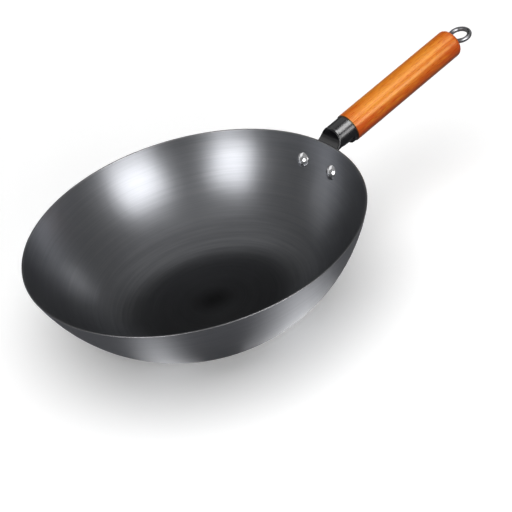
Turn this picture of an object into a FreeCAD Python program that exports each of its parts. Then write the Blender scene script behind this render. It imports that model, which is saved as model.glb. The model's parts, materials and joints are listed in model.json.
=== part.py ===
import FreeCAD, Part
import os
import re

import Sketcher

# A carbon steel wok, 32 cm across, with one long wooden handle.
# The rim circle is centred on the Z axis, the flat base stands on z = 0, and the handle points along +X.
# Lengths are millimetres and angles are degrees.

# Driving sizes

SIZES = {
    # bowl
    "rim_radius": 160,
    "bowl_depth": 90,
    "base_radius": 83,
    "rim_angle": 71,
    "bowl_wall": 1.5,
    "base_corner_round": 80,
    "rim_round": 0.45,
    # handle axis: how far it passes below the rim, and its climb
    "axis_drop": 8.5,
    "handle_angle": 8.3,
    # bracket: one pressed sheet, with places along the handle axis counted from the rim
    "sheet_thickness": 2,
    "socket_diameter": 27.6,
    "socket_end": 33.3,
    "ring_length": 4.3,
    "neck_front": 2,
    "neck_front_wall": 3,
    "neck_front_width": 31,
    "neck_side": 1.2,
    "neck_middle": 17,
    "front_belly": 3.2,
    "middle_belly": 9.4,
    "back_belly": 10.4,
    "pinch_end": 13.5,
    "pinch_start": 2.5,
    "pinch_radius": 11,
    "pinch_floor": 0.6,
    "pinch_edge_round": 1.4,
    "strap_drop": 7.4,
    "strap_bend_radius": 5,
    "strap_overlap": 3,
    "ear_side_margin": 9.3,
    "ear_top_margin": 8.8,
    "ear_bottom_margin": 7.7,
    "ear_round": 7,
    "foot_tip_drop": 13,
    "strap_corner_round": 4,
    # rivets through the ears of the foot
    "rivet_drop": 22.3,
    "rivet_spacing": 41.4,
    "rivet_diameter": 6,
    "rivet_head_diameter": 14.4,
    "rivet_head_height": 3.2,
    "rivet_tail_diameter": 12,
    "rivet_tail_height": 2.6,
    # wood
    "wood_diameter": 29.4,
    "wood_length": 150,
    "wood_tail_round": 4.8,
    "wood_front_chamfer": 0.6,
    # clamp that holds the wood in the socket
    "rod_diameter": 5,
    "rod_thread_past_nut": 3,
    "rod_end_chamfer": 0.8,
    "rod_cope": 1.2,
    "nut_place": 19,
    "nut_plate_thickness": 3,
    "nut_hub_diameter": 11,
    "nut_hub_length": 4,
    "washer_diameter": 16,
    "washer_thickness": 1.2,
    # hanging loop: a round eye of wire
    "loop_wire": 4.7,
    "loop_diameter": 24.2,
    "loop_roll": 4.5,
    # clearances
    "seat_clearance": 0.1,
    "turn_clearance": 0.3,
    "thread_clearance": 0.05,
    "cut_overrun": 5,
}

# How near an edge lies to the place that it is picked by
PICK_TOLERANCE = 0.1

# Sizes worked out from the driving ones

WORKED_OUT = {
    # the wall's section is one arc, square to the rim angle at the rim and passing the base's edge
    "wall_run": "rim_radius - base_radius",
    "wall_radius": "(wall_run^2 + bowl_depth^2)"
                   " / (2 * (wall_run * sin(rim_angle) - bowl_depth * cos(rim_angle)))",
    "wall_centre_x": "rim_radius - wall_radius * sin(rim_angle)",
    "wall_centre_z": "bowl_depth + wall_radius * cos(rim_angle)",
    "wall_inner_radius": "wall_radius - bowl_wall",
    "rim_inner_radius": "wall_centre_x + sqrt(wall_inner_radius^2 - (wall_centre_z - bowl_depth)^2)",
    # the turn from floor to wall touches both
    "turn_gap": "wall_radius - base_corner_round",
    "turn_centre_x": "wall_centre_x + sqrt(turn_gap^2 - (wall_centre_z - base_corner_round)^2)",
    "turn_run": "(turn_centre_x - wall_centre_x) / turn_gap",
    "turn_fall": "(base_corner_round - wall_centre_z) / turn_gap",
    # handle axis
    "axis_height": "bowl_depth - axis_drop",
    "socket_radius": "socket_diameter / 2",
    "bore_radius": "socket_radius - sheet_thickness",
    "ring_front": "socket_end - ring_length",
    "wood_end": "socket_end + wood_length",
    # ears of the foot, round the rivets
    "rivet_height": "bowl_depth - rivet_drop",
    "ear_reach": "rivet_spacing / 2 + ear_side_margin",
    "foot_width": "2 * ear_reach",
    "ear_top_height": "rivet_height + ear_top_margin",
    "ear_bottom_height": "rivet_height - ear_bottom_margin",
    "foot_bottom_height": "ear_bottom_height - foot_tip_drop",
    # foot and strap: the sheet follows the wall, then bends outward to lie level
    "foot_inner_radius": "wall_radius + seat_clearance",
    "foot_outer_radius": "foot_inner_radius + sheet_thickness",
    "strap_top": "bowl_depth - strap_drop",
    "strap_bottom": "strap_top - sheet_thickness",
    "bend_reach": "foot_outer_radius + strap_bend_radius",
    "bend_z": "strap_bottom - strap_bend_radius",
    "bend_x": "wall_centre_x + sqrt(bend_reach^2 - (wall_centre_z - bend_z)^2)",
    "bend_run": "(bend_x - wall_centre_x) / bend_reach",
    "bend_fall": "(bend_z - wall_centre_z) / bend_reach",
    "strap_end": "rim_radius + neck_front + strap_overlap",
    "foot_inner_x": "wall_centre_x + sqrt(foot_inner_radius^2 - (wall_centre_z - foot_bottom_height)^2)",
    "foot_outer_x": "wall_centre_x + sqrt(foot_outer_radius^2 - (wall_centre_z - foot_bottom_height)^2)",
    "foot_turn": "2 * asin((ear_reach + cut_overrun) / foot_inner_x) / 1 deg",
    "neck_front_reach": "neck_front_width / 2",
    "foot_tip_radius": "(ear_reach^2 + foot_tip_drop^2) / (2 * foot_tip_drop)",
    # hollow of the neck, one sheet inside its outer skin
    "front_slope": "(middle_belly - front_belly) / (neck_middle - neck_front)",
    "hollow_front": "neck_front + neck_front_wall",
    "hollow_front_belly": "front_belly + front_slope * (hollow_front - neck_front)"
                          " - sheet_thickness * sqrt(1 + front_slope^2)",
    "hollow_middle_belly": "middle_belly - sheet_thickness",
    "hollow_back_belly": "back_belly - sheet_thickness",
    "hollow_pinch_radius": "pinch_radius + sheet_thickness",
    "hollow_pinch_end": "pinch_end + sheet_thickness",
    "pinch_centre": "pinch_floor + pinch_radius",
    # rivets stand square to the wall
    "rivet_reach": "wall_centre_x + sqrt(wall_radius^2 - (wall_centre_z - rivet_height)^2)",
    "rivet_turn": "asin(rivet_spacing / 2 / rivet_reach) / 1 deg",
    "rivet_pitch": "asin((wall_centre_z - rivet_height) / wall_radius) / 1 deg",
    "rivet_radius": "rivet_diameter / 2",
    "rivet_seat": "seat_clearance + sheet_thickness",
    # the flat underside of the inside head clears the hollow wall at its edge
    "rivet_head_seat": "seat_clearance + rivet_head_diameter^2 / (8 * wall_inner_radius)",
    # clamp
    "rod_radius": "rod_diameter / 2",
    "plug_radius": "bore_radius - seat_clearance",
    "plug_front": "ring_front + seat_clearance",
    "nut_back": "nut_place + nut_plate_thickness",
    "nut_share": "(nut_place - neck_middle) / (ring_front - neck_middle)",
    "nut_belly": "hollow_middle_belly + (hollow_back_belly - hollow_middle_belly) * nut_share"
                 " - seat_clearance",
    "nut_bore_radius": "rod_radius + thread_clearance",
    "rod_front": "nut_place - rod_thread_past_nut",
    "rod_way_radius": "rod_radius + turn_clearance",
    "washer_seat": "wood_end - washer_thickness",
    "washer_radius": "washer_diameter / 2",
    # hanging loop
    "loop_reach": "(loop_diameter - loop_wire) / 2",
    "loop_bar": "wood_end + turn_clearance + loop_wire / 2",
    "loop_centre": "loop_bar + loop_reach",
    "rod_tail": "loop_bar - rod_cope",
}

doc = FreeCAD.newDocument("wok")
sheet = doc.addObject("Spreadsheet::Sheet", "sizes")


def fill_sheet():
    """Write each size to its own cell, with its word as the alias."""
    row = 0
    for word, value in SIZES.items():
        row += 1
        sheet.set(f"A{row}", word)
        sheet.set(f"B{row}", str(value))
        sheet.setAlias(f"B{row}", word)
    doc.recompute()
    for word, formula in WORKED_OUT.items():
        row += 1
        sheet.set(f"A{row}", word)
        sheet.set(f"B{row}", "=" + formula)
        sheet.setAlias(f"B{row}", word)
    doc.recompute()


fill_sheet()


def bound(formula):
    """The formula as another object writes it, with the sheet's name before each size."""
    return re.sub(r"\b([a-z]+(?:_[a-z]+)+)\b", r"sizes.\1", formula)


def amount(formula):
    """The formula's value now."""
    return float(sheet.evalExpression(formula))


def bind(thing, prop, formula):
    thing.setExpression(prop, bound(formula))


def place(thing, x, z, yaw="0", pitch="0", roll="0", y="0"):
    """Bind a placement: turned about Z, Y and X, then moved."""
    bind(thing, "Placement", f"placement(vector({x}; {y}; {z}); rotation({yaw}; {pitch}; {roll}))")


def place_on_handle(thing, roll="0"):
    """The handle's own frame: X runs out along the handle, from the point below the rim."""
    place(thing, "rim_radius", "axis_height", pitch="-handle_angle", roll=roll)


# Sketches: every corner is pinned by two bound lengths

def new_body(label):
    body = doc.addObject("PartDesign::Body", label)
    body.Label = label
    return body


def new_sketch(body, name, plane, offset="0", along="0"):
    """An empty sketch on one of the body's planes, moved off the plane and along its own first axis."""
    sketch = body.newObject("Sketcher::SketchObject", name)
    planes = {feature.Role: feature for feature in body.Origin.OriginFeatures}
    sketch.AttachmentSupport = [(planes[plane], "")]
    sketch.MapMode = "FlatFace"
    bind(sketch, "AttachmentOffset", f"placement(vector({along}; 0; {offset}); rotation(0; 0; 0))")
    return sketch


def pin(sketch, kind, edge, point, formula):
    """Hold one coordinate of a point at a bound distance from the sketch's origin."""
    value = amount(formula)
    if formula == "0":
        axis = -2 if kind == "DistanceX" else -1
        sketch.addConstraint(Sketcher.Constraint("PointOnObject", edge, point, axis))
        return
    index = sketch.addConstraint(Sketcher.Constraint(kind, -1, 1, edge, point, value))
    bind(sketch, f"Constraints[{index}]", formula)


def draw(sketch, corners, closed=True):
    """Join corners (x, y); a corner (x, y, centre x, centre y, turn) starts an arc, turn 1 anticlockwise."""
    spots = [FreeCAD.Vector(amount(corner[0]), amount(corner[1]), 0) for corner in corners]
    first = sketch.GeometryCount
    count = len(corners) if closed else len(corners) - 1
    starts = []
    for index in range(count):
        here = spots[index]
        there = spots[(index + 1) % len(spots)]
        corner = corners[index]
        if len(corner) == 2:
            sketch.addGeometry(Part.LineSegment(here, there))
            starts.append(1)
            continue
        centre = FreeCAD.Vector(amount(corner[2]), amount(corner[3]), 0)
        turn = corner[4]
        begin, end = (here, there) if turn == 1 else (there, here)
        circle = Part.Circle(centre, FreeCAD.Vector(0, 0, 1), (here - centre).Length)
        arc = Part.ArcOfCircle(circle, circle.parameter(begin), circle.parameter(end))
        sketch.addGeometry(arc)
        starts.append(1 if turn == 1 else 2)
    for index in range(count):
        edge = first + index
        if closed or index + 1 < count:
            after = (index + 1) % count
            sketch.addConstraint(
                Sketcher.Constraint("Coincident", edge, 3 - starts[index], first + after, starts[after]))
        pin(sketch, "DistanceX", edge, starts[index], corners[index][0])
        pin(sketch, "DistanceY", edge, starts[index], corners[index][1])
        if len(corners[index]) > 2:
            chord = spots[(index + 1) % len(spots)] - spots[index]
            across = abs(chord.y) > abs(chord.x)
            pin(sketch, "DistanceX" if across else "DistanceY", edge, 3, corners[index][2 if across else 3])
    if not closed:
        pin(sketch, "DistanceX", first + count - 1, 3 - starts[-1], corners[-1][0])
        pin(sketch, "DistanceY", first + count - 1, 3 - starts[-1], corners[-1][1])
    return sketch


def revolve(body, sketch, axis, angle="360"):
    """Turn the sketch round one of its own axes, half of the angle to each side."""
    turned = body.newObject("PartDesign::Revolution", sketch.Name + "_turned")
    turned.Profile = sketch
    turned.ReferenceAxis = (sketch, [axis])
    turned.Midplane = True
    bind(turned, "Angle", angle)
    doc.recompute()
    return turned


def cut_through(body, sketch):
    """Cut the sketch's outline through the whole body, both ways."""
    before = body.Shape.Volume
    pocket = body.newObject("PartDesign::Pocket", sketch.Name + "_cut")
    pocket.Profile = sketch
    pocket.Type = "ThroughAll"
    pocket.SideType = "Symmetric"
    doc.recompute()
    assert body.Shape.Volume < before, sketch.Name + " cut nothing"
    return pocket


def round_edges(body, wanted, formula, name):
    """Round the edges of the body's last shape that the test picks."""
    base = body.Tip
    names = [f"Edge{index + 1}" for index, edge in enumerate(base.Shape.Edges) if wanted(edge)]
    assert names, name + " found no edge"
    fillet = body.newObject("PartDesign::Fillet", name)
    fillet.Base = (base, names)
    bind(fillet, "Radius", formula)
    doc.recompute()
    return fillet


def is_ring_at(edge, height):
    """Whether an edge is a level circle at this height."""
    low, high = edge.BoundBox.ZMin, edge.BoundBox.ZMax
    level = max(abs(low - height), abs(high - height)) < PICK_TOLERANCE
    return level and edge.Curve.TypeId == "Part::GeomCircle"


# Bowl: spun from one steel disc, with a plain cut rim and two rivet holes

def make_bowl():
    """The section is the floor, the round turn and the wall, outside and then back inside."""
    body = new_body("bowl_blank")
    section = draw(new_sketch(body, "bowl_section", "XZ_Plane"), [
        ("0", "0"),
        ("turn_centre_x", "0", "turn_centre_x", "base_corner_round", 1),
        ("wall_centre_x + wall_radius * turn_run", "wall_centre_z + wall_radius * turn_fall",
         "wall_centre_x", "wall_centre_z", 1),
        ("rim_radius", "bowl_depth"),
        ("rim_inner_radius", "bowl_depth", "wall_centre_x", "wall_centre_z", -1),
        ("wall_centre_x + wall_inner_radius * turn_run", "wall_centre_z + wall_inner_radius * turn_fall",
         "turn_centre_x", "base_corner_round", -1),
        ("turn_centre_x", "bowl_wall"),
        ("0", "bowl_wall"),
    ])
    revolve(body, section, "V_Axis")
    depth = amount("bowl_depth")
    round_edges(body, lambda edge: is_ring_at(edge, depth), "rim_round", "rim_edges")
    return body


def rivet_drill(name, side):
    """A drill as wide as the rivet and its clearance, square to the wall at the rivet's place."""
    drill = doc.addObject("Part::Cylinder", name)
    bind(drill, "Radius", "rivet_radius + seat_clearance")
    bind(drill, "Height", "2 * cut_overrun")
    turn = f"{side} * rivet_turn"
    back = "(rivet_reach - cut_overrun * cos(rivet_pitch))"
    place(drill,
          f"{back} * cos({turn})",
          "rivet_height + cut_overrun * sin(rivet_pitch)",
          yaw=turn, pitch="90 + rivet_pitch",
          y=f"{back} * sin({turn})")
    return drill


def cut_away(label, base, tools):
    """The base less each tool, as one piece."""
    tool = tools[0]
    if len(tools) > 1:
        tool = doc.addObject("Part::MultiFuse", label + "_tools")
        tool.Shapes = tools
    cut = doc.addObject("Part::Cut", label + "_piece")
    cut.Base = base
    cut.Tool = tool
    cut.Label = label
    doc.recompute()
    assert cut.Shape.Volume < base.Shape.Volume, label + " lost nothing"
    return cut


bowl_drills = [rivet_drill("bowl_drill_left", 1), rivet_drill("bowl_drill_right", -1)]
wok_body = cut_away("wok_body", make_bowl(), bowl_drills)


# Bracket: foot on the wall, bend, level strap, and a neck that opens into the round socket

def make_foot():
    """The sheet from the foot's tip to the strap's end, cut to its outline."""
    body = new_body("bracket_foot")
    section = draw(new_sketch(body, "foot_section", "XZ_Plane"), [
        ("foot_outer_x", "foot_bottom_height", "wall_centre_x", "wall_centre_z", 1),
        ("wall_centre_x + bend_run * foot_outer_radius", "wall_centre_z + bend_fall * foot_outer_radius",
         "bend_x", "bend_z", -1),
        ("bend_x", "strap_bottom"),
        ("strap_end", "strap_bottom"),
        ("strap_end", "strap_top"),
        ("bend_x", "strap_top", "bend_x", "bend_z", 1),
        ("wall_centre_x + bend_run * foot_inner_radius", "wall_centre_z + bend_fall * foot_inner_radius",
         "wall_centre_x", "wall_centre_z", -1),
        ("foot_inner_x", "foot_bottom_height"),
    ])
    revolve(body, section, "V_Axis", "foot_turn")
    edge = "foot_width + cut_overrun"
    above = "bowl_depth + cut_overrun"
    below = "foot_bottom_height - cut_overrun"
    flare = "neck_front_reach + strap_corner_round"
    outline = new_sketch(body, "foot_outline", "YZ_Plane")
    draw(outline, [(f"-({edge})", below), (edge, below), (edge, above), (f"-({edge})", above)])
    draw(outline, [
        ("-ear_reach", "ear_bottom_height", "0", "foot_bottom_height + foot_tip_radius", 1),
        ("ear_reach", "ear_bottom_height"),
        ("ear_reach", "ear_top_height - ear_round",
         "ear_reach - ear_round", "ear_top_height - ear_round", 1),
        ("ear_reach - ear_round", "ear_top_height"),
        (flare, "ear_top_height", flare, "ear_top_height + strap_corner_round", -1),
        ("neck_front_reach", "ear_top_height + strap_corner_round"),
        ("neck_front_reach", "bowl_depth"),
        ("-neck_front_reach", "bowl_depth"),
        ("-neck_front_reach", "ear_top_height + strap_corner_round",
         f"-({flare})", "ear_top_height + strap_corner_round", -1),
        (f"-({flare})", "ear_top_height"),
        ("ear_round - ear_reach", "ear_top_height",
         "ear_round - ear_reach", "ear_top_height - ear_round", 1),
        ("-ear_reach", "ear_top_height - ear_round"),
    ])
    cut_through(body, outline)
    return body


def neck_section(body, name, offset, reach, belly):
    """A little more than a half round, closed by a shallower arc down to the belly's depth."""
    half = f"sqrt(({reach})^2 - neck_side^2)"
    sag = f"({belly} - neck_side)"
    belly_centre = f"({half}^2 + {sag}^2) / (2 * {sag}) - ({belly})"
    sketch = new_sketch(body, name, "YZ_Plane", offset)
    return draw(sketch, [
        (half, "-neck_side", "0", "0", 1),
        (f"-{half}", "-neck_side", "0", belly_centre, 1),
    ])


def make_neck(label, radius, sections, ring_end, pinch_radius, pinch_end):
    """A pinched tube: bellies deepen to the round ring, and a hollow press mark closes the top."""
    body = new_body(label)
    sketches = []
    for index, (offset, reach, belly) in enumerate(sections):
        sketches.append(neck_section(body, f"{label}_section_{index}", offset, reach, belly))
    doc.recompute()
    loft = body.newObject("PartDesign::AdditiveLoft", label + "_skin")
    loft.Profile = sketches[0]
    loft.Sections = sketches[1:]
    loft.Ruled = True
    doc.recompute()
    circle = new_sketch(body, label + "_ring", "YZ_Plane", "ring_front")
    draw(circle, [
        (radius, "0", "0", "0", 1),
        (f"-({radius})", "0", "0", "0", 1),
    ])
    ring = body.newObject("PartDesign::Pad", label + "_socket")
    ring.Profile = circle
    bind(ring, "Length", f"{ring_end} - ring_front")
    doc.recompute()
    above = "socket_radius + cut_overrun"
    front = "pinch_start - cut_overrun"
    press = draw(new_sketch(body, label + "_pinch", "XZ_Plane"), [
        (front, f"pinch_centre - ({pinch_radius})"),
        ("pinch_start", f"pinch_centre - ({pinch_radius})", "pinch_start", "pinch_centre", 1),
        (pinch_end, "pinch_centre"),
        (pinch_end, above),
        (front, above),
    ])
    cut_through(body, press)
    return body


def is_fold(edge):
    """Whether an edge lies between the press mark and the neck's outer skin."""
    box = edge.BoundBox
    after = box.XMin > amount("neck_front") - PICK_TOLERANCE
    before = box.XMax < amount("pinch_end") + PICK_TOLERANCE
    above = box.ZMin > amount("pinch_floor") - PICK_TOLERANCE
    return after and before and above and edge.Curve.TypeId != "Part::GeomLine"


def make_bracket():
    foot = make_foot()
    skin = make_neck("neck_skin", "socket_radius",
                     [("neck_front", "neck_front_reach", "front_belly"),
                      ("neck_middle", "socket_radius", "middle_belly"),
                      ("ring_front", "socket_radius", "back_belly")],
                     "socket_end", "pinch_radius", "pinch_end")
    hollow = make_neck("neck_hollow", "bore_radius",
                       [("hollow_front", "neck_front_reach - sheet_thickness", "hollow_front_belly"),
                        ("neck_middle", "bore_radius", "hollow_middle_belly"),
                        ("ring_front", "bore_radius", "hollow_back_belly")],
                       "socket_end + cut_overrun", "hollow_pinch_radius", "hollow_pinch_end")
    round_edges(skin, is_fold, "pinch_edge_round", "neck_fold_round")
    for body in (skin, hollow):
        place_on_handle(body)
    doc.recompute()
    shell = cut_away("neck_shell", skin, [hollow])
    joined = doc.addObject("Part::MultiFuse", "bracket_blank")
    joined.Shapes = [foot, shell]
    joined.Refine = True
    doc.recompute()
    foot_drills = [rivet_drill("foot_drill_left", 1), rivet_drill("foot_drill_right", -1)]
    return cut_away("handle_bracket", joined, foot_drills)


handle_bracket = make_bracket()


# Rivets: a domed head inside the bowl, a shank, and a flatter head closed on the foot

def make_rivet(label, side):
    body = new_body(label)
    inside = "-(bowl_wall + rivet_head_seat)"
    head = "rivet_head_diameter / 2"
    tail = "rivet_tail_diameter / 2"
    seat = "rivet_seat + seat_clearance"
    dome = "(rivet_head_diameter^2 / 4 + rivet_head_height^2) / (2 * rivet_head_height)"
    button = "(rivet_tail_diameter^2 / 4 + rivet_tail_height^2) / (2 * rivet_tail_height)"
    section = draw(new_sketch(body, label + "_section", "XZ_Plane"), [
        (f"{inside} - rivet_head_height", "0"),
        (f"{seat} + rivet_tail_height", "0", f"{seat} + rivet_tail_height - {button}", "0", 1),
        (seat, tail),
        (seat, "rivet_radius"),
        (inside, "rivet_radius"),
        (inside, head, f"{inside} - rivet_head_height + {dome}", "0", 1),
    ])
    revolve(body, section, "H_Axis")
    turn = f"{side} * rivet_turn"
    place(body, f"rivet_reach * cos({turn})", "rivet_height",
          yaw=turn, pitch="rivet_pitch", y=f"rivet_reach * sin({turn})")
    return body


rivets = [make_rivet("rivet_left", 1), make_rivet("rivet_right", -1)]


# Wood: one turned grip with a plug for the socket and a way for the rod

def make_wood():
    body = new_body("wooden_handle")
    wood = "wood_diameter / 2"
    section = draw(new_sketch(body, "wood_section", "XZ_Plane"), [
        ("plug_front", "rod_way_radius"),
        ("washer_seat", "rod_way_radius"),
        ("washer_seat", "washer_radius + seat_clearance"),
        ("wood_end", "washer_radius + seat_clearance"),
        ("wood_end", f"{wood} - wood_tail_round",
         "wood_end - wood_tail_round", f"{wood} - wood_tail_round", 1),
        ("wood_end - wood_tail_round", wood),
        ("socket_end + wood_front_chamfer", wood),
        ("socket_end", f"{wood} - wood_front_chamfer"),
        ("socket_end", "plug_radius"),
        ("plug_front", "plug_radius"),
    ])
    revolve(body, section, "H_Axis")
    place_on_handle(body)
    return body


wooden_handle = make_wood()


# Clamp: a threaded plate welded in the neck, a rod through the wood, and a washer let into the wood's tail

def make_nut_plate():
    """A plate cut to the neck's hollow, with a round hub behind it."""
    body = new_body("nut_plate")
    outline = neck_section(body, "nut_outline", "nut_place", "plug_radius", "nut_belly")
    plate = body.newObject("PartDesign::Pad", "nut_plate_pad")
    plate.Profile = outline
    bind(plate, "Length", "nut_plate_thickness")
    doc.recompute()
    hub = draw(new_sketch(body, "nut_hub_section", "XZ_Plane"), [
        ("nut_back", "0"),
        ("nut_back + nut_hub_length", "0"),
        ("nut_back + nut_hub_length", "nut_hub_diameter / 2"),
        ("nut_back", "nut_hub_diameter / 2"),
    ])
    revolve(body, hub, "H_Axis")
    bore = new_sketch(body, "nut_bore", "YZ_Plane")
    draw(bore, [
        ("nut_bore_radius", "0", "0", "0", 1),
        ("-nut_bore_radius", "0", "0", "0", 1),
    ])
    cut_through(body, bore)
    place_on_handle(body)
    return body


def make_ring(label, wire):
    """A round eye of wire, in the plane of the handle's axis."""
    body = new_body(label)
    section = draw(new_sketch(body, label + "_section", "XZ_Plane", along="loop_centre"), [
        (f"loop_reach + {wire}", "0", "loop_reach", "0", 1),
        (f"loop_reach - ({wire})", "0", "loop_reach", "0", 1),
    ])
    revolve(body, section, "V_Axis")
    place_on_handle(body, roll="loop_roll")
    return body


def make_rod():
    """A rod whose tail is hollowed to sit on the loop's wire."""
    body = new_body("rod_blank")
    section = draw(new_sketch(body, "rod_section", "XZ_Plane"), [
        ("rod_front", "0"),
        ("rod_tail", "0"),
        ("rod_tail", "rod_radius"),
        ("rod_front + rod_end_chamfer", "rod_radius"),
        ("rod_front", "rod_radius - rod_end_chamfer"),
    ])
    revolve(body, section, "H_Axis")
    place_on_handle(body)
    return cut_away("tie_rod", body, [make_ring("rod_cope_tool", "loop_wire / 2 + thread_clearance")])


def make_washer():
    body = new_body("tail_washer")
    section = draw(new_sketch(body, "washer_section", "XZ_Plane"), [
        ("washer_seat", "rod_way_radius"),
        ("wood_end", "rod_way_radius"),
        ("wood_end", "washer_radius"),
        ("washer_seat", "washer_radius"),
    ])
    revolve(body, section, "H_Axis")
    place_on_handle(body)
    return body


nut_plate = make_nut_plate()
tie_rod = make_rod()
tail_washer = make_washer()
hanging_loop = make_ring("hanging_loop", "loop_wire / 2")

# Checks, then one file for each piece

doc.recompute()
pieces = [wok_body, handle_bracket, *rivets, wooden_handle, nut_plate, tie_rod, tail_washer, hanging_loop]
failed = [thing.Label for thing in doc.Objects if {"Invalid", "Error"} & set(thing.State)]
assert not failed, f"failed: {failed}"
for piece in pieces:
    shape = piece.Shape
    assert not shape.isNull() and shape.isValid() and len(shape.Solids) == 1, f"bad shape: {piece.Label}"
os.makedirs("parts", exist_ok=True)
for piece in pieces:
    piece.Shape.exportStep(f"parts/{piece.Label}.step")
    box = piece.Shape.optimalBoundingBox()
    print(f"{piece.Label}: {piece.Shape.Volume / 1000:.2f} cm3,"
          f" {box.XLength:.1f} x {box.YLength:.1f} x {box.ZLength:.1f} mm")
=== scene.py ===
# %% [markdown]
# # A carbon steel wok with a wooden handle
#
# The solids of this wok come from a packed model: a spun bowl, a pressed bracket with two rivets, a
# turned grip, and a wire loop on a rod. This lesson gives each of them its finish, lights them as a
# small studio would, and sets a camera where the picture of the wok was taken.
# Lengths are metres. The bowl stands on z = 0 with its axis on Z, and the handle points along +X.

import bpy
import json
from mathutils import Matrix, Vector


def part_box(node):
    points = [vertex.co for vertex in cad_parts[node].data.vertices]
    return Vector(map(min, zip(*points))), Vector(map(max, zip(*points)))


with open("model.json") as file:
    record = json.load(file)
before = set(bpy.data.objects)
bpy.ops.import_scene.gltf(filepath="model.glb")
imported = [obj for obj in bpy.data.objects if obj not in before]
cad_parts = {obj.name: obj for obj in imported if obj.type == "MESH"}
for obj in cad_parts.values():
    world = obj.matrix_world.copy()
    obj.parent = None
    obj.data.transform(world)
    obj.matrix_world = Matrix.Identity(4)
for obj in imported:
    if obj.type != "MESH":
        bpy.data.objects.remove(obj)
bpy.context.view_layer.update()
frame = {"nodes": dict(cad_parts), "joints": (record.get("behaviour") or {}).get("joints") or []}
print("solids:", ", ".join(sorted(frame["nodes"])))

# %% [markdown]
# ## Units and view
#
# Blender's own tools, a name for the millimetre, and the plain view of the colours, in which a colour
# shows as it is written.

# %% Units and view
import json
import math

import bpy
from mathutils import Matrix, Vector

MM = 0.001
scene = bpy.context.scene
scene.view_settings.view_transform = "Standard"
print("colours are shown as", scene.view_settings.view_transform)

# %% [markdown]
# ## Camera
#
# The camera looks down into the bowl from the front left, with a long lens from well over a metre
# away, and it is rolled so that the handle climbs to the upper right. A camera's own axes are easy to
# build: one points back at the photographer, one right, one up, and the roll turns the last two.

# %% Camera
CAMERA_AZIMUTH = math.radians(-31.37)
CAMERA_ELEVATION = math.radians(34.48)
CAMERA_ROLL = math.radians(-14.53)
CAMERA_DISTANCE = 1.2657
CAMERA_LENS = 98.44
AIM_RIGHT = 57.5 * MM
AIM_UP = -29.7 * MM

rim_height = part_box("wok_body")[1].z


def direction(azimuth, elevation):
    """The unit vector to a place round the wok: azimuth 0 is -Y, a quarter turn is +X."""
    level = math.cos(elevation)
    return Vector((math.sin(azimuth) * level, -math.cos(azimuth) * level, math.sin(elevation)))


def photo_axes():
    """The camera's right, up and back vectors."""
    back = direction(CAMERA_AZIMUTH, CAMERA_ELEVATION)
    level_right = Vector((0, 0, 1)).cross(back).normalized()
    level_up = back.cross(level_right)
    turn = Matrix.Rotation(CAMERA_ROLL, 3, back)
    return turn @ level_right, turn @ level_up, back


right, up, back = photo_axes()
aim = Vector((0, 0, rim_height)) + right * AIM_RIGHT + up * AIM_UP
camera = bpy.data.objects.new("camera", bpy.data.cameras.new("camera"))
camera.data.lens = CAMERA_LENS
axes = Matrix((right, up, back)).transposed().to_4x4()
camera.matrix_world = Matrix.Translation(aim + back * CAMERA_DISTANCE) @ axes
scene.collection.objects.link(camera)
scene.camera = camera
print("camera at", [round(x, 4) for x in camera.matrix_world.translation])

# %% [markdown]
# ## Shader maths as Python
#
# A finish is a node tree, but a formula is easier to read than a tree. So a small class wraps one socket
# and answers Python's operators with Math nodes, also when the number comes first, as in 1 - mask.

# %% Values
class Value:
    """One output socket of a finish, for use in formulas."""

    def __init__(self, finish, socket):
        self.finish = finish
        self.socket = socket

    def math(self, operation, *others, first=None):
        """A Math node on this value, with the others after it or one number first."""
        inputs = [self, *others] if first is None else [first, self]
        return self.finish.node("ShaderNodeMath", {"operation": operation}, dict(enumerate(inputs)))

    def __add__(self, other):
        return self.math("ADD", other)

    def __sub__(self, other):
        return self.math("SUBTRACT", other)

    def __mul__(self, other):
        return self.math("MULTIPLY", other)

    def __truediv__(self, other):
        return self.math("DIVIDE", other)

    def __pow__(self, other):
        return self.math("POWER", other)

    def __rsub__(self, other):
        return self.math("SUBTRACT", first=other)

    def __rtruediv__(self, other):
        return self.math("DIVIDE", first=other)

    __radd__ = __add__
    __rmul__ = __mul__


print("values answer + - * / and **")

# %% [markdown]
# ## Finishes
#
# A second class holds a material. One method adds any kind of node, and the short ones after it say what
# such a node is for. The room is made with the same class, because a world has a node tree too.

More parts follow.
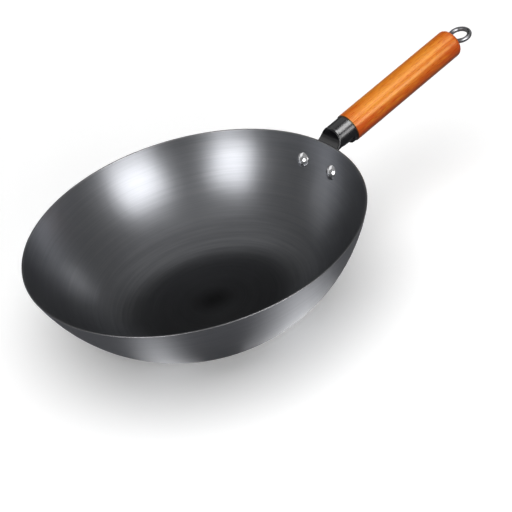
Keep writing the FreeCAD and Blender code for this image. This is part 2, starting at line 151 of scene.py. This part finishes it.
# %% Finishes
class Finish:
    """A material, or the world, whose tree is written as formulas."""

    def __init__(self, name, library=bpy.data.materials):
        self.material = library.new(name)
        self.material.use_nodes = True
        self.tree = self.material.node_tree
        self.shader = next(node for node in self.tree.nodes if node.outputs)

    def node(self, kind, settings, sockets, out=0):
        """Add a node: its settings first, then a value or a link for each socket it names."""
        made = self.tree.nodes.new(kind)
        for name, value in settings.items():
            setattr(made, name, value)
        self.feed(made, sockets)
        return Value(self, made.outputs[out])

    def feed(self, node, sockets):
        """Set or link the sockets of a node."""
        for name, value in sockets.items():
            if isinstance(value, Value):
                self.tree.links.new(value.socket, node.inputs[name])
            else:
                node.inputs[name].default_value = value

    def surface(self, **sockets):
        """Set the surface shader's sockets, with a space in a name written as _."""
        self.feed(self.shader, {name.replace("_", " "): value for name, value in sockets.items()})

    def place(self, kind="Object"):
        """Where a point is on the wok, or another of its coordinates, as a vector."""
        return self.node("ShaderNodeTexCoord", {}, {}, out=kind)

    def split(self, vector):
        """The three numbers of a vector."""
        return [self.node("ShaderNodeSeparateXYZ", {}, {0: vector}, out=index) for index in range(3)]

    def vector(self, x, y, z):
        """A vector from three numbers."""
        return self.node("ShaderNodeCombineXYZ", {}, {0: x, 1: y, 2: z})

    def noise(self, spot, scale, detail=2.0):
        """Cloudy variation from 0 to 1, about 0.5 in the middle."""
        return self.node("ShaderNodeTexNoise", {}, {"Vector": spot, "Scale": scale, "Detail": detail})

    def step(self, value, low, high, start=0.0, end=1.0):
        """A smooth rise from start at low to end at high."""
        return self.node("ShaderNodeMapRange", {"interpolation_type": "SMOOTHSTEP"}, {
            "Value": value, "From Min": low, "From Max": high, "To Min": start, "To Max": end})

    def blend(self, share, first, second):
        """A colour part of the way from the first to the second."""
        return self.node("ShaderNodeMix", {"data_type": "RGBA"}, {
            "Factor": share, 6: first, 7: second}, out=2)

    def bump(self, height, distance, strength=1.0):
        """A normal that follows a height from 0 to 1, which stands for the distance."""
        return self.node("ShaderNodeBump", {}, {
            "Height": height, "Distance": distance, "Strength": strength})


def colour(red, green, blue):
    """A colour as a socket takes it."""
    return (red, green, blue, 1.0)


def dress(finish, *nodes):
    """Give solids a finish."""
    for name in nodes:
        piece = frame["nodes"][name]
        piece.data.materials.clear()
        piece.data.materials.append(finish.material)
    print(finish.material.name, "on", ", ".join(nodes))


print("a finish has", ", ".join(name for name in vars(Finish) if not name.startswith("_")))

# %% [markdown]
# ## Carbon steel
#
# The bowl is spun from a disc of carbon steel, turned smooth inside and blued in an oven, so it is a dark
# blue-grey metal with a satin gloss. The turning tool leaves very fine lines round the bowl. They are
# noise that is stretched a long way round and squeezed across, which needs one number that grows along
# the section from the floor's centre to the rim: the radius plus the height. A few broader rings show
# where the wall turns into the floor, because the tool lingers there. The lines also spread every
# highlight along the section, which the shader's anisotropy does.
#
# Some places differ. The flat floor is painted darker, and its centre darkest: this is painted shade,
# for the dim room that the floor mirrors. The outside is never turned, so it is rougher; it is found by
# its normal, which faces down. The cut rim is bare metal and catches a thin line of light.

# %% Carbon steel
LINE_PITCH = 1.1 * MM
RING_PITCH = 4.5 * MM
LINE_LENGTH = 70 * MM
CLOUD_SIZE = 55 * MM
CENTRE_RADIUS = 26 * MM
FLAT_RADIUS = 52 * MM
TURN_RADIUS = 88 * MM
TURN_REACH = 34 * MM
RIM_BAND = 0.9 * MM
LEVEL, DOWNWARD = 0.02, -0.06
SATIN = 0.265
RING_DEPTH = 0.12 * MM
DARK_BLUED, PALE_BLUED = colour(0.225, 0.230, 0.245), colour(0.290, 0.296, 0.312)
# Painted shade for the bowl's floor, which mirrors a dim room.
PAINTED_FLOOR_SHADE = colour(0.02, 0.02, 0.02)
BARE_STEEL = colour(0.36, 0.36, 0.37)

steel = Finish("carbon_steel")
spot = steel.place()
x, y, z = steel.split(spot)
radius = (x * x + y * y) ** 0.5
track = radius + z
round_x = x / LINE_LENGTH
round_y = y / LINE_LENGTH
lines = steel.noise(steel.vector(round_x, round_y, track / LINE_PITCH), 1.0, detail=3.0)
rings = steel.noise(steel.vector(round_x, round_y, track / RING_PITCH), 1.0, detail=1.0)
clouds = steel.noise(spot, 1 / CLOUD_SIZE, detail=4.0)
near_turn = 1 - steel.step((radius - TURN_RADIUS).math("ABSOLUTE"), 0.0, TURN_REACH)
facing_up = steel.split(steel.place("Normal"))[2]
outside = steel.step(facing_up, LEVEL, DOWNWARD)
floor_shade_mask = 1 - steel.step(radius, FLAT_RADIUS, TURN_RADIUS)
bare_rim = steel.step(z, rim_height - RIM_BAND, rim_height - RIM_BAND / 3)
shade = 0.35 * lines + 0.3 * clouds + (0.2 + 0.5 * near_turn) * rings - 0.25 * near_turn
blued = steel.blend(steel.step(shade, 0.2, 0.7), DARK_BLUED, PALE_BLUED)
centre_shade_mask = 1 - steel.step(radius, 0.0, CENTRE_RADIUS)
# Painted shade: the flat floor, and its centre most, are darkened towards black, for the dim room that
# the floor mirrors.
blued_with_floor_shade = steel.blend(0.44 * floor_shade_mask + 0.36 * centre_shade_mask, blued, PAINTED_FLOOR_SHADE)
steel.surface(
    Base_Color=steel.blend(bare_rim, blued_with_floor_shade, BARE_STEEL),
    Metallic=1.0,
    Roughness=SATIN + 0.05 * lines + 0.04 * clouds + 0.06 * bare_rim + 0.2 * outside,
    Anisotropic=0.2,
    Anisotropic_Rotation=0.25,
    Normal=steel.bump(0.04 * lines + rings * near_turn, RING_DEPTH),
)
dress(steel, "wok_body")

# %% [markdown]
# ## Black enamel
#
# The bracket is pressed from sheet, dipped in black enamel and baked. The enamel flows out to a nearly
# smooth skin with the faint waviness called orange peel. It is so dark that what shows is the gloss: the
# colour hardly varies, and the smudges change the roughness instead.

# %% Black enamel
PEEL_SIZE = 2.5 * MM
PEEL_DEPTH = 0.02 * MM
SMUDGE_SIZE = 14 * MM
DEEP_BLACK, SMUDGED_BLACK = colour(0.003, 0.003, 0.004), colour(0.006, 0.006, 0.007)

black = Finish("bracket_black")
spot = black.place()
peel = black.noise(spot, 1 / PEEL_SIZE, detail=2.0)
smudges = black.noise(spot, 1 / SMUDGE_SIZE, detail=3.0)
black.surface(
    Base_Color=black.blend(smudges, DEEP_BLACK, SMUDGED_BLACK),
    Roughness=0.22 + 0.06 * smudges,
    IOR=1.5,
    Normal=black.bump(peel, PEEL_DEPTH, 0.15),
)
dress(black, "handle_bracket")

# %% [markdown]
# ## Rivets
#
# The rivet heads are polished by the tool that closes them, with small scuffs. One noise serves for both
# effects of a scuff: where the metal is scuffed it is paler and rougher.

# %% Rivets
RIVET_SCUFF = 1.5 * MM
POLISHED, SCUFFED = colour(0.66, 0.66, 0.67), colour(0.88, 0.88, 0.89)

bright = Finish("rivet_steel")
scuffs = bright.noise(bright.place(), 1 / RIVET_SCUFF, detail=4.0)
bright.surface(
    Base_Color=bright.blend(scuffs, POLISHED, SCUFFED),
    Metallic=1.0,
    Roughness=0.16 + 0.12 * scuffs,
)
dress(bright, "rivet_left", "rivet_right")

# %% [markdown]
# ## Plated wire
#
# The loop, its rod, the washer and the nut plate are plated steel, greyer and less even than the rivets.
# The finish is made in the same way, with larger scuffs.

# %% Plated wire
PLATING_SCUFF = 2 * MM
DULL_PLATING, WORN_PLATING = colour(0.24, 0.24, 0.25), colour(0.42, 0.42, 0.44)

plated = Finish("plated_steel")
scuffs = plated.noise(plated.place(), 1 / PLATING_SCUFF, detail=4.0)
plated.surface(
    Base_Color=plated.blend(scuffs, DULL_PLATING, WORN_PLATING),
    Metallic=1.0,
    Roughness=0.22 + 0.14 * scuffs,
)
dress(plated, "nut_plate", "tie_rod", "tail_washer", "hanging_loop")

# %% [markdown]
# ## Stained wood
#
# The grip is turned from a straight-grained hardwood, stained orange and lacquered. Its grain runs along
# the handle, so the pattern is worked out in the handle's own directions: the point is moved to the
# handle's start and turned level, and then it is squeezed across far more than along. Three sizes of
# noise make the broad figure, the fibres, and the short dark pores that take up more stain.
#
# The upper side is painted paler and the underside painted darker: painted light and shade, as from the
# lamps above. Both ends are redder, and the front edge carries a painted shadow where it meets the
# bracket, for the gap at the joint. The lacquer is thin, so its gloss keeps some of the wood's orange:
# the specular is tinted, because a clear coat would add white.

# %% Stained wood
FIGURE_LENGTH, FIGURE_WIDTH = 70 * MM, 3.2 * MM
FIBRE_LENGTH, FIBRE_WIDTH = 10 * MM, 0.8 * MM
PORE_LENGTH, PORE_WIDTH = 6 * MM, 0.6 * MM
JOINT_SHADOW_REACH = 1.1 * MM
PALE_REACH = 32 * MM
TOP_LIGHT_SHARE, GRIP_RADIUS = 0.17, 15 * MM
UNDERSIDE_SHADE_START, UNDERSIDE_SHADE_FULL = -1 * MM, -10 * MM
PALE_END, PALE_MIDDLE = -0.10, 0.05
PORE_EDGE, PORE_FULL = 0.60, 0.74
GRAIN_DEPTH = 0.03 * MM
RED_STAIN, ORANGE_STAIN = colour(0.55, 0.064, 0.002), colour(0.73, 0.240, 0.014)
PORE_STAIN = colour(0.36, 0.060, 0.006)
# Painted shade for the underside, and a painted shadow for the front edge by the bracket.
UNDERSIDE_SHADE = colour(0.12, 0.020, 0.004)
JOINT_SHADOW = colour(0.030, 0.010, 0.004)
LACQUER_TINT = colour(1.0, 0.86, 0.42)

turn_joint = frame["joints"][0]
axis = Vector(turn_joint["axis"]).normalized()
handle_start = Vector(turn_joint["pos_m"])
climb = math.atan2(axis.z, axis.x)


def farthest(name):
    """How far a solid reaches along the handle."""
    return max((vertex.co - handle_start).dot(axis) for vertex in frame["nodes"][name].data.vertices)


grip_front = farthest("handle_bracket")
grip_tail = farthest("wooden_handle")
print(f"grip from {grip_front / MM:.1f} to {grip_tail / MM:.1f} mm along the handle")

wood = Finish("stained_wood")
level = wood.node("ShaderNodeMapping", {"vector_type": "TEXTURE"}, {
    "Vector": wood.place(), "Location": handle_start, "Rotation": (0, -climb, 0)})
along, across, rise = wood.split(level)


def fibres(length, width, detail):
    """Noise drawn out along the handle."""
    return wood.noise(wood.vector(along / length, across / width, rise / width), 1.0, detail=detail)


figure = fibres(FIGURE_LENGTH, FIGURE_WIDTH, 3.0)
grain = fibres(FIBRE_LENGTH, FIBRE_WIDTH, 3.0)
pores = wood.step(fibres(PORE_LENGTH, PORE_WIDTH, 1.0), PORE_EDGE, PORE_FULL)
from_front = along - grip_front
from_tail = grip_tail - along
pale = wood.step(from_front.math("MINIMUM", from_tail), 0.0, PALE_REACH, PALE_END, PALE_MIDDLE)
# Painted light: the tone rises with height, so the upper side comes out paler.
painted_top_light = TOP_LIGHT_SHARE / GRIP_RADIUS * rise - 0.08
tone = 0.35 * figure + 0.65 * grain + pale + painted_top_light
stain = wood.blend(wood.step(tone, 0.31, 0.75), RED_STAIN, ORANGE_STAIN)
grip = wood.blend(0.75 * pores, stain, PORE_STAIN)
# Painted shade: the underside is blended towards a dark brown.
with_underside_shade = wood.blend(0.75 * wood.step(rise, UNDERSIDE_SHADE_START, UNDERSIDE_SHADE_FULL), grip, UNDERSIDE_SHADE)
# Painted shadow: the front edge by the bracket is blended nearly to black, for the gap at the joint.
joint_shadow_mask = 1 - wood.step(from_front, JOINT_SHADOW_REACH / 2, JOINT_SHADOW_REACH)
wood.surface(
    Base_Color=wood.blend(joint_shadow_mask, with_underside_shade, JOINT_SHADOW),
    Roughness=0.24 + 0.1 * grain,
    Specular_IOR_Level=1.0,
    Specular_Tint=LACQUER_TINT,
    Normal=wood.bump(grain - pores, GRAIN_DEPTH, 0.35),
)
dress(wood, "wooden_handle")

# %% [markdown]
# ## Floor
#
# The wok stands on a sheet of white paper, wide enough to fill the picture and plain, so that the soft
# shadow is the only thing on it. It is white to the camera alone. In the steel it is dark grey, as paper
# is in a dim studio, because a bowl that mirrored white all round would look flat. Far from the wok the
# paper glows for the camera, so that the white doesn't fade away from the lamps.

# %% Floor
FLOOR_RADIUS = 4.0
FLOOR_SIDES = 96
NEAR_GLOW, FAR_GLOW = 0.14, 0.75
GLOW_START, GLOW_FULL = 0.45, 1.4
MOTTLE_SIZE = 0.3
PAPER_SHADE, PAPER_WHITE = colour(0.94, 0.94, 0.94), colour(0.96, 0.96, 0.96)
MIRRORED_PAPER = colour(0.16, 0.16, 0.17)
DARK, BRIGHT = colour(0, 0, 0), colour(1, 1, 1)

corners = [direction(math.tau * side / FLOOR_SIDES, 0) * FLOOR_RADIUS for side in range(FLOOR_SIDES)]
sheet = bpy.data.meshes.new("floor")
sheet.from_pydata(corners, [], [range(FLOOR_SIDES)])
floor = bpy.data.objects.new("floor", sheet)
scene.collection.objects.link(floor)
paper = Finish("floor_paper")
spot = paper.place()
x, y = paper.split(spot)[:2]
mottle = paper.noise(spot, 1 / MOTTLE_SIZE, detail=2.0)
seen = paper.node("ShaderNodeLightPath", {}, {}, out="Is Camera Ray")
white = paper.blend(mottle, PAPER_SHADE, PAPER_WHITE)
glow = paper.step((x * x + y * y) ** 0.5, GLOW_START, GLOW_FULL, NEAR_GLOW, FAR_GLOW)
paper.surface(
    Base_Color=paper.blend(seen, MIRRORED_PAPER, white),
    Roughness=0.9,
    Specular_IOR_Level=0.1,
    Emission_Color=paper.blend(seen * glow, DARK, BRIGHT),
    Emission_Strength=1.0,
)
sheet.materials.append(paper.material)
print("floor", 2 * FLOOR_RADIUS, "m across")

# %% [markdown]
# ## Lamps
#
# A satin bowl is lit by what it mirrors. Its far wall mirrors the space beside the photographer, so two
# softboxes stand there, one to each side, and each makes one soft patch. Two weak lamps lift the bowl's
# flanks. Wood and paper need matt light instead, from a wide lamp overhead and another in front. Each
# lamp does one of the two jobs, so that the patches on the steel and the brightness of the paper can be
# set apart.

# %% Lamps for the bowl and the paper
WATTS_FOR_RADIANCE = 4

bowl_middle = Vector((0, 0, rim_height))


def lamp(name, azimuth, elevation, distance, width, height, radiance, mirrored=True, target=bowl_middle):
    """A rectangular lamp facing its target; azimuths count from the camera, to its right.

    A mirrored lamp shows in glossy surfaces alone, and any other lamp lights matt surfaces alone.
    """
    light = bpy.data.lights.new(name, "AREA")
    light.shape = "RECTANGLE"
    light.size = width
    light.size_y = height
    light.energy = WATTS_FOR_RADIANCE * radiance * width * height
    holder = bpy.data.objects.new(name, light)
    way = direction(CAMERA_AZIMUTH + math.radians(azimuth), math.radians(elevation))
    holder.location = target + way * distance
    holder.rotation_mode = "QUATERNION"
    holder.rotation_quaternion = way.to_track_quat("Z", "Y")
    holder.visible_camera = False
    holder.visible_glossy = mirrored
    holder.visible_diffuse = not mirrored
    scene.collection.objects.link(holder)
    print(f"{name}: {light.energy:.2f} W, {width:.3f} x {height:.3f} m")
    return holder


# name, azimuth, elevation, distance, width, height, radiance
lamp("softbox_right", 35, 28, 1.3, 0.72, 0.76, 4.3)
lamp("softbox_left", -41, 29, 1.3, 0.60, 0.70, 4.2)
lamp("side_right", 130, 17, 1.3, 0.36, 0.20, 0.8)
lamp("side_left", -122, 12, 1.3, 0.60, 0.36, 0.55)
lamp("overhead", 0, 89, 2.2, 3.4, 3.4, 1.25, mirrored=False)
lamp("front_fill", 20, 12, 1.6, 1.6, 0.9, 3.2, mirrored=False)

# %% [markdown]
# ## Lamps for the handle
#
# The round handle mirrors a strip to the right as a thin bright line, and a sheet above it as a broad
# soft band. Black enamel mirrors far less than lacquered wood, so its lamps are stronger. The bracket and
# the rivets also mirror dim sheets behind the wok. A photographer keeps such lamps off the bowl with
# flags, which are black boards on stands. Here light linking does that: each lamp names its solids.

# %% Lamps for the handle
FROM_MIDDLE = 50 * MM

handle_middle = sum(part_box("wooden_handle"), Vector((0, 0, 0))) / 2
handle_front = handle_middle - axis * FROM_MIDDLE


def flagged_lamp(name, azimuth, elevation, distance, width, height, radiance, *nodes):
    """A lamp near the handle, with flags that keep it off everything but these solids."""
    holder = lamp(name, azimuth, elevation, distance, width, height, radiance, target=handle_front)
    lit = bpy.data.collections.new(name)
    for node in nodes:
        lit.objects.link(frame["nodes"][node])
    holder.light_linking.receiver_collection = lit


# name, azimuth, elevation, distance, width, height, radiance, solids
flagged_lamp("grip_strip", 57, 21.6, 0.7, 0.26, 0.20, 4.6, "wooden_handle", "hanging_loop")
flagged_lamp("grip_sheet", 76, 60, 0.9, 0.50, 0.32, 2.3, "wooden_handle", "hanging_loop")
flagged_lamp("socket_strip", 57, 24, 0.7, 0.26, 0.22, 7.6, "handle_bracket")
flagged_lamp("socket_sheet", 80, 62, 0.9, 0.60, 0.38, 10.4, "handle_bracket")
flagged_lamp("back_sheet", 180, 45, 1.0, 0.70, 0.80, 0.6, "handle_bracket")
flagged_lamp("far_sheet", -128, 38, 1.0, 0.80, 0.50, 0.8, "rivet_left", "rivet_right", "handle_bracket")

# %% [markdown]
# ## Strips on the paper
#
# The outside of the bowl leans over the paper and mirrors what lies at its foot. Two strips of light lie
# there and shine up, and they make the two pale bands on the front of the bowl. Each strip is three lamps
# of different widths, one just above the other, so that the band fades towards its edges.

# %% Strips on the paper
STRIP_HEIGHT = 1.5 * MM
STRIP_START, STRIP_END = 95 * MM, 215 * MM
STRIP_SHARES = (0.5, 1.0, 1.6)


def floor_strip(name, azimuth, width, radiance):
    """Lamps lying on the paper, with their length pointing away from the bowl."""
    middle, length = (STRIP_START + STRIP_END) / 2, STRIP_END - STRIP_START
    outward = Matrix.Rotation(CAMERA_AZIMUTH + math.radians(azimuth), 3, "Z")
    face_up = outward @ Matrix.Rotation(math.pi, 3, "X")
    for number, share in enumerate(STRIP_SHARES, 1):
        part = radiance / len(STRIP_SHARES)
        strip = lamp(f"{name}_{number}", azimuth, 0, middle, width * share, length, part)
        strip.location.z = STRIP_HEIGHT * share
        strip.rotation_quaternion = face_up.to_quaternion()


floor_strip("floor_strip_left", -29, 40 * MM, 1.1)
floor_strip("floor_strip_right", 40, 76 * MM, 1.4)

# %% [markdown]
# ## Room
#
# The walls are grey, so that the steel between the lamps stays dark, and the ceiling is a little lighter.
# A black panel hangs high up across from the camera. The floor of the bowl mirrors it, which is why the
# middle of the bowl is nearly black. What the camera itself sees behind the paper is plain white.

# %% Room
WALL_LIGHT = 0.20
CEILING_LIGHT = 0.34
WALL_TOP, CEILING = math.sin(math.radians(40)), math.sin(math.radians(65))
PANEL_LIGHT = 0.03
PANEL_ELEVATION = math.radians(34)
PANEL_EDGE, PANEL_FULL = math.cos(math.radians(30)), math.cos(math.radians(5))

room = Finish("room", bpy.data.worlds)
scene.world = room.material
way = room.place("Generated")
panel_way = direction(CAMERA_AZIMUTH + math.pi, PANEL_ELEVATION)
facing = room.node(
    "ShaderNodeVectorMath", {"operation": "DOT_PRODUCT"}, {0: way, 1: panel_way}, out="Value")
height = room.split(way)[2]
wall = room.step(height, WALL_TOP, CEILING, WALL_LIGHT, CEILING_LIGHT)
light = wall + (PANEL_LIGHT - wall) * room.step(facing, PANEL_EDGE, PANEL_FULL)
seen = room.node("ShaderNodeLightPath", {}, {}, out="Is Camera Ray")
room.surface(Color=BRIGHT, Strength=seen + (1 - seen) * light)
print("room:", WALL_LIGHT, "at the walls,", PANEL_LIGHT, "at the panel")

# %% [markdown]
# ## Sizes
#
# Finishes and lamps must leave the wok's size alone.
